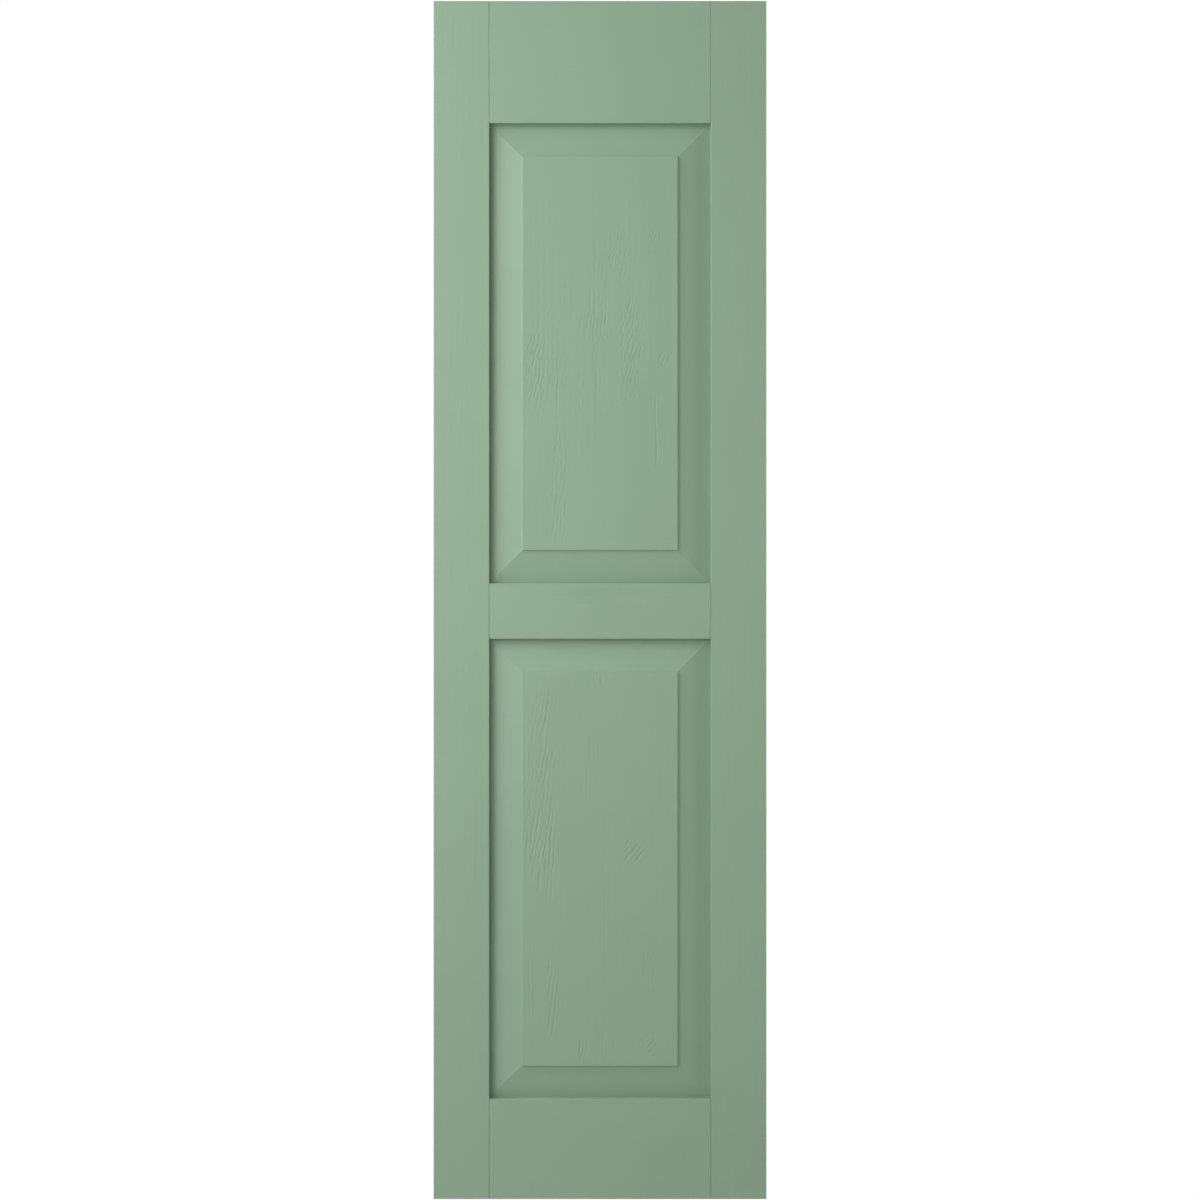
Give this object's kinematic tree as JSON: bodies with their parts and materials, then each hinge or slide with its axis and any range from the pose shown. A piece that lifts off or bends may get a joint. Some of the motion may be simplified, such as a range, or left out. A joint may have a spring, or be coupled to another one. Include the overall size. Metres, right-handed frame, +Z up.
{
  "type": "raised panel shutter",
  "caption": "Painted wooden exterior window shutter: a stile-and-rail frame holding bevelled raised panels, with a flat back that fixes to a wall beside a window.",
  "frame": {"origin": "middle of the flat back, half way up, on the back face of the middle rail, where the shutter lies against the wall", "axes": "+Z up along the stiles, +Y out of the back into the wall, so the panelled face looks along -Y, and +X to the right as seen from the face"},
  "size_m": [0.381, 0.0286, 1.3716],
  "materials": {
    "painted_wood": "sage green paint, satin, over softwood whose grain shows through as fine relief"
  },
  "bodies": {
    "root": {"left_stile": "painted_wood", "right_stile": "painted_wood", "top_rail": "painted_wood", "middle_rail": "painted_wood", "bottom_rail": "painted_wood", "lower_panel": "painted_wood", "upper_panel": "painted_wood"}
  },
  "joints": []
}
